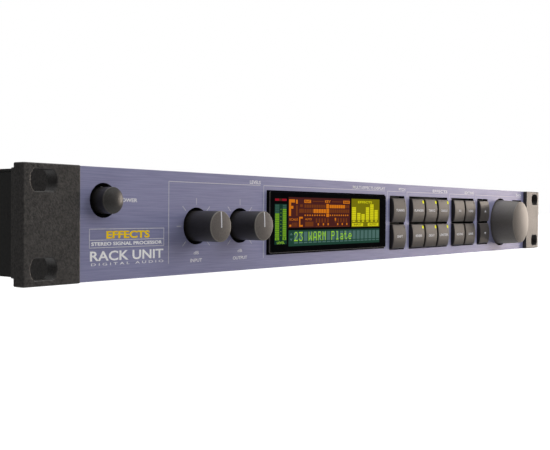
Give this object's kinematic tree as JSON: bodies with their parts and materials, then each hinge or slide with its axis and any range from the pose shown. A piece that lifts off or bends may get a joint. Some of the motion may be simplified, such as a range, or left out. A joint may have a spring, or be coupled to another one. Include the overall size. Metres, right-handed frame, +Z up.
{
  "type": "rack effects unit",
  "caption": "One-unit rack processor: recessed brushed panel between two thick ears, two level knobs, display, push buttons, data wheel and rear sockets.",
  "frame": {"origin": "middle of the whole unit's underside", "axes": "+X to the right seen from the front, along the panel; the front faces -Y; +Z up"},
  "size_m": [0.4826, 0.2084, 0.044],
  "materials": {
    "chassis_black": "satin powder coat",
    "ear_black": "fine textured powder coat",
    "plate_blue": "brushed and anodised violet blue",
    "display_lens": "polished",
    "inner_plastic": "moulded",
    "board_green": "solder mask",
    "winding": "taped winding",
    "cable_grey": "flat cable",
    "socket_plastic": "moulded black",
    "socket_brass": "plated",
    "fastener_steel": "black zinc",
    "shaft_steel": "turned",
    "knob_plastic": "fine satin",
    "button_grey": "satin"
  },
  "bodies": {
    "chassis": {"chassis_pan": "chassis_black", "sub_panel": "chassis_black", "top_cover": "chassis_black", "rear_panel": "chassis_black", "front_plate": "plate_blue", "left_ear": "ear_black", "right_ear": "ear_black", "display_lens": "display_lens", "display_module": "inner_plastic", "power_switch": "inner_plastic", "input_rotary": "inner_plastic", "output_rotary": "inner_plastic", "wheel_rotary": "inner_plastic", "control_board": "board_green", "main_board": "board_green", "supply_board": "board_green", "transformer": "winding", "ribbon_cable": "cable_grey", "mains_inlet": "socket_plastic", "pedal_jack": "socket_plastic", "output_right_jack": "socket_plastic", "output_left_jack": "socket_plastic", "input_right_jack": "socket_plastic", "input_left_jack": "socket_plastic", "midi_in_socket": "socket_plastic", "midi_out_socket": "socket_plastic", "midi_thru_socket": "socket_plastic", "digital_in_socket": "socket_brass", "digital_out_socket": "socket_brass", "cover_screw_left_front": "fastener_steel", "cover_screw_left_rear": "fastener_steel", "cover_screw_right_front": "fastener_steel", "cover_screw_right_rear": "fastener_steel", "ear_screw_left_front": "fastener_steel", "ear_screw_left_rear": "fastener_steel", "ear_screw_right_front": "fastener_steel", "ear_screw_right_rear": "fastener_steel"},
    "power_button": {"power_button": "knob_plastic"},
    "input_knob": {"input_knob": "knob_plastic", "input_shaft": "shaft_steel"},
    "output_knob": {"output_knob": "knob_plastic", "output_shaft": "shaft_steel"},
    "data_wheel": {"data_wheel": "knob_plastic", "wheel_shaft": "shaft_steel"},
    "pitch_button_1_upper": {"pitch_button_1_upper": "button_grey"},
    "pitch_button_1_lower": {"pitch_button_1_lower": "button_grey"},
    "effect_button_1_upper": {"effect_button_1_upper": "button_grey"},
    "effect_button_1_lower": {"effect_button_1_lower": "button_grey"},
    "effect_button_2_upper": {"effect_button_2_upper": "button_grey"},
    "effect_button_2_lower": {"effect_button_2_lower": "button_grey"},
    "effect_button_3_upper": {"effect_button_3_upper": "button_grey"},
    "effect_button_3_lower": {"effect_button_3_lower": "button_grey"},
    "edit_button_1_upper": {"edit_button_1_upper": "button_grey"},
    "edit_button_1_lower": {"edit_button_1_lower": "button_grey"},
    "edit_button_2_upper": {"edit_button_2_upper": "button_grey"},
    "edit_button_2_lower": {"edit_button_2_lower": "button_grey"},
    "arrow_button_1_upper": {"arrow_button_1_upper": "button_grey"},
    "arrow_button_1_lower": {"arrow_button_1_lower": "button_grey"},
    "enter_button_1_upper": {"enter_button_1_upper": "button_grey"},
    "enter_button_1_lower": {"enter_button_1_lower": "button_grey"}
  },
  "joints": [
    {"name": "power_button_press", "type": "slide", "parent": "chassis", "child": "power_button", "axis": [0, 1, 0], "range_m": [0, 0.0035], "stiffness_N_per_m": 400},
    {"name": "input_knob_turn", "type": "hinge", "parent": "chassis", "child": "input_knob", "pos_m": [-0.1513, -0.08965, 0.02075], "axis": [0, 1, 0], "range_deg": [-135, 135]},
    {"name": "output_knob_turn", "type": "hinge", "parent": "chassis", "child": "output_knob", "pos_m": [-0.1222, -0.08965, 0.02075], "axis": [0, 1, 0], "range_deg": [-135, 135]},
    {"name": "data_wheel_turn", "type": "hinge", "parent": "chassis", "child": "data_wheel", "pos_m": [0.1721, -0.08965, 0.02075], "axis": [0, 1, 0], "continuous": true},
    {"name": "pitch_button_1_upper_press", "type": "slide", "parent": "chassis", "child": "pitch_button_1_upper", "axis": [0, 1, 0], "range_m": [0, 0.001], "stiffness_N_per_m": 600},
    {"name": "pitch_button_1_lower_press", "type": "slide", "parent": "chassis", "child": "pitch_button_1_lower", "axis": [0, 1, 0], "range_m": [0, 0.001], "stiffness_N_per_m": 600},
    {"name": "effect_button_1_upper_press", "type": "slide", "parent": "chassis", "child": "effect_button_1_upper", "axis": [0, 1, 0], "range_m": [0, 0.001], "stiffness_N_per_m": 600},
    {"name": "effect_button_1_lower_press", "type": "slide", "parent": "chassis", "child": "effect_button_1_lower", "axis": [0, 1, 0], "range_m": [0, 0.001], "stiffness_N_per_m": 600},
    {"name": "effect_button_2_upper_press", "type": "slide", "parent": "chassis", "child": "effect_button_2_upper", "axis": [0, 1, 0], "range_m": [0, 0.001], "stiffness_N_per_m": 600},
    {"name": "effect_button_2_lower_press", "type": "slide", "parent": "chassis", "child": "effect_button_2_lower", "axis": [0, 1, 0], "range_m": [0, 0.001], "stiffness_N_per_m": 600},
    {"name": "effect_button_3_upper_press", "type": "slide", "parent": "chassis", "child": "effect_button_3_upper", "axis": [0, 1, 0], "range_m": [0, 0.001], "stiffness_N_per_m": 600},
    {"name": "effect_button_3_lower_press", "type": "slide", "parent": "chassis", "child": "effect_button_3_lower", "axis": [0, 1, 0], "range_m": [0, 0.001], "stiffness_N_per_m": 600},
    {"name": "edit_button_1_upper_press", "type": "slide", "parent": "chassis", "child": "edit_button_1_upper", "axis": [0, 1, 0], "range_m": [0, 0.001], "stiffness_N_per_m": 600},
    {"name": "edit_button_1_lower_press", "type": "slide", "parent": "chassis", "child": "edit_button_1_lower", "axis": [0, 1, 0], "range_m": [0, 0.001], "stiffness_N_per_m": 600},
    {"name": "edit_button_2_upper_press", "type": "slide", "parent": "chassis", "child": "edit_button_2_upper", "axis": [0, 1, 0], "range_m": [0, 0.001], "stiffness_N_per_m": 600},
    {"name": "edit_button_2_lower_press", "type": "slide", "parent": "chassis", "child": "edit_button_2_lower", "axis": [0, 1, 0], "range_m": [0, 0.001], "stiffness_N_per_m": 600},
    {"name": "arrow_button_1_upper_press", "type": "slide", "parent": "chassis", "child": "arrow_button_1_upper", "axis": [0, 1, 0], "range_m": [0, 0.001], "stiffness_N_per_m": 600},
    {"name": "arrow_button_1_lower_press", "type": "slide", "parent": "chassis", "child": "arrow_button_1_lower", "axis": [0, 1, 0], "range_m": [0, 0.001], "stiffness_N_per_m": 600},
    {"name": "enter_button_1_upper_press", "type": "slide", "parent": "chassis", "child": "enter_button_1_upper", "axis": [0, 1, 0], "range_m": [0, 0.001], "stiffness_N_per_m": 600},
    {"name": "enter_button_1_lower_press", "type": "slide", "parent": "chassis", "child": "enter_button_1_lower", "axis": [0, 1, 0], "range_m": [0, 0.001], "stiffness_N_per_m": 600}
  ]
}
